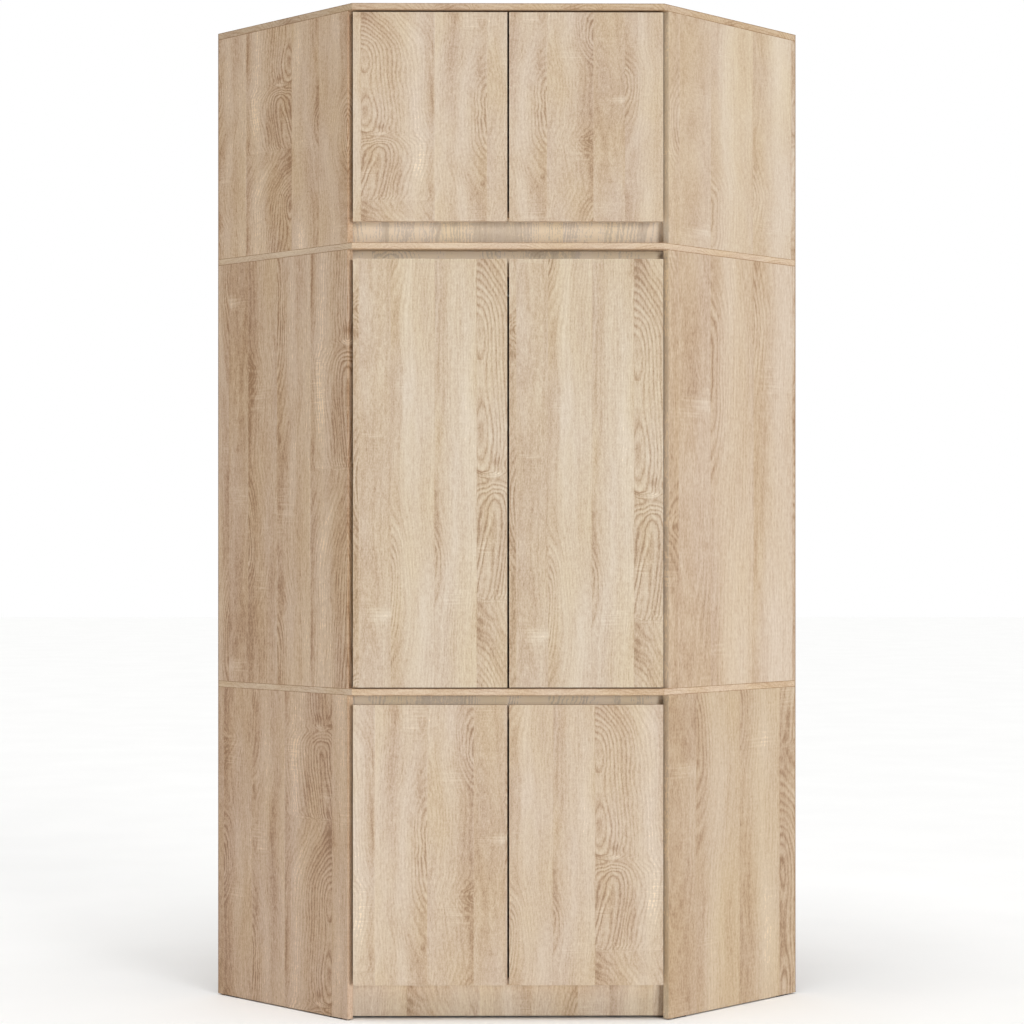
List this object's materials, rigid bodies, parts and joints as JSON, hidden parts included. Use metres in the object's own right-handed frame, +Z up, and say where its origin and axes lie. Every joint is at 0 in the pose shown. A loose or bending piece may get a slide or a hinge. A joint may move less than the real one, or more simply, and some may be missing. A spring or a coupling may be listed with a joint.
{
  "type": "corner wardrobe",
  "caption": "Tall diagonal-fronted corner wardrobe in pale oak-print board, with handleless door pairs on a base unit, a hanging unit and a top box.",
  "frame": {"origin": "on the floor, under the middle of the part's box", "axes": "+X to the right along the door front, +Y from the doors towards the corner of the room, +Z up"},
  "size_m": [1.4142, 0.9744, 2.35],
  "materials": {
    "oak_board": "laminated chipboard with a pale sawn-oak print",
    "back_sheet": "bare thin fibreboard",
    "dowel_beech": "turned beech",
    "hinge_steel": "nickel-plated pressed steel",
    "screw_steel": "zinc-plated steel",
    "chrome_tube": "chromed steel",
    "dark_plastic": "moulded black plastic",
    "pale_plastic": "moulded beige plastic"
  },
  "bodies": {
    "carcass": {"base_side_left": "oak_board", "base_side_right": "oak_board", "base_back_left": "back_sheet", "base_back_right": "back_sheet", "base_corner_post": "oak_board", "base_deck": "oak_board", "base_hinge_arms": "hinge_steel", "base_hinge_plates": "hinge_steel", "middle_side_left": "oak_board", "middle_side_right": "oak_board", "middle_back_left": "back_sheet", "middle_back_right": "back_sheet", "middle_corner_post": "oak_board", "middle_deck": "oak_board", "middle_hinge_arms": "hinge_steel", "middle_hinge_plates": "hinge_steel", "top_side_left": "oak_board", "top_side_right": "oak_board", "top_back_left": "back_sheet", "top_back_right": "back_sheet", "top_corner_post": "oak_board", "top_deck": "oak_board", "top_hinge_arms": "hinge_steel", "top_hinge_plates": "hinge_steel", "base_bottom": "oak_board", "base_plinth": "oak_board", "base_rail": "oak_board", "base_shelf": "oak_board", "base_shelf_pins": "screw_steel", "middle_rail": "oak_board", "hanging_rail": "chrome_tube", "hanging_rail_plugs": "dark_plastic", "hanging_rail_hangers": "chrome_tube", "top_plinth": "oak_board", "top_bottom": "oak_board", "deck_screws": "screw_steel", "unit_dowels": "dowel_beech", "board_blocks": "pale_plastic", "rail_wedges": "pale_plastic", "floor_glides": "dark_plastic"},
    "base_door_left": {"base_door_left": "oak_board", "base_door_left_hinge_cups": "hinge_steel", "base_door_left_hinge_pins": "screw_steel"},
    "base_door_right": {"base_door_right": "oak_board", "base_door_right_hinge_cups": "hinge_steel", "base_door_right_hinge_pins": "screw_steel"},
    "middle_door_left": {"middle_door_left": "oak_board", "middle_door_left_hinge_cups": "hinge_steel", "middle_door_left_hinge_pins": "screw_steel"},
    "middle_door_right": {"middle_door_right": "oak_board", "middle_door_right_hinge_cups": "hinge_steel", "middle_door_right_hinge_pins": "screw_steel"},
    "top_door_left": {"top_door_left": "oak_board", "top_door_left_hinge_cups": "hinge_steel", "top_door_left_hinge_pins": "screw_steel"},
    "top_door_right": {"top_door_right": "oak_board", "top_door_right_hinge_cups": "hinge_steel", "top_door_right_hinge_pins": "screw_steel"}
  },
  "joints": [
    {"name": "base_door_left_swing", "type": "hinge", "parent": "carcass", "child": "base_door_left", "pos_m": [-0.34922, -0.47717, 0.40675], "axis": [0, 0, -1], "range_deg": [0, 95]},
    {"name": "base_door_right_swing", "type": "hinge", "parent": "carcass", "child": "base_door_right", "pos_m": [0.34922, -0.47717, 0.40675], "axis": [0, 0, 1], "range_deg": [0, 95]},
    {"name": "middle_door_left_swing", "type": "hinge", "parent": "carcass", "child": "middle_door_left", "pos_m": [-0.34922, -0.47717, 1.2655], "axis": [0, 0, -1], "range_deg": [0, 95]},
    {"name": "middle_door_right_swing", "type": "hinge", "parent": "carcass", "child": "middle_door_right", "pos_m": [0.34922, -0.47717, 1.2655], "axis": [0, 0, 1], "range_deg": [0, 95]},
    {"name": "top_door_left_swing", "type": "hinge", "parent": "carcass", "child": "top_door_left", "pos_m": [-0.34922, -0.47717, 2.0883], "axis": [0, 0, -1], "range_deg": [0, 95]},
    {"name": "top_door_right_swing", "type": "hinge", "parent": "carcass", "child": "top_door_right", "pos_m": [0.34922, -0.47717, 2.0883], "axis": [0, 0, 1], "range_deg": [0, 95]}
  ]
}
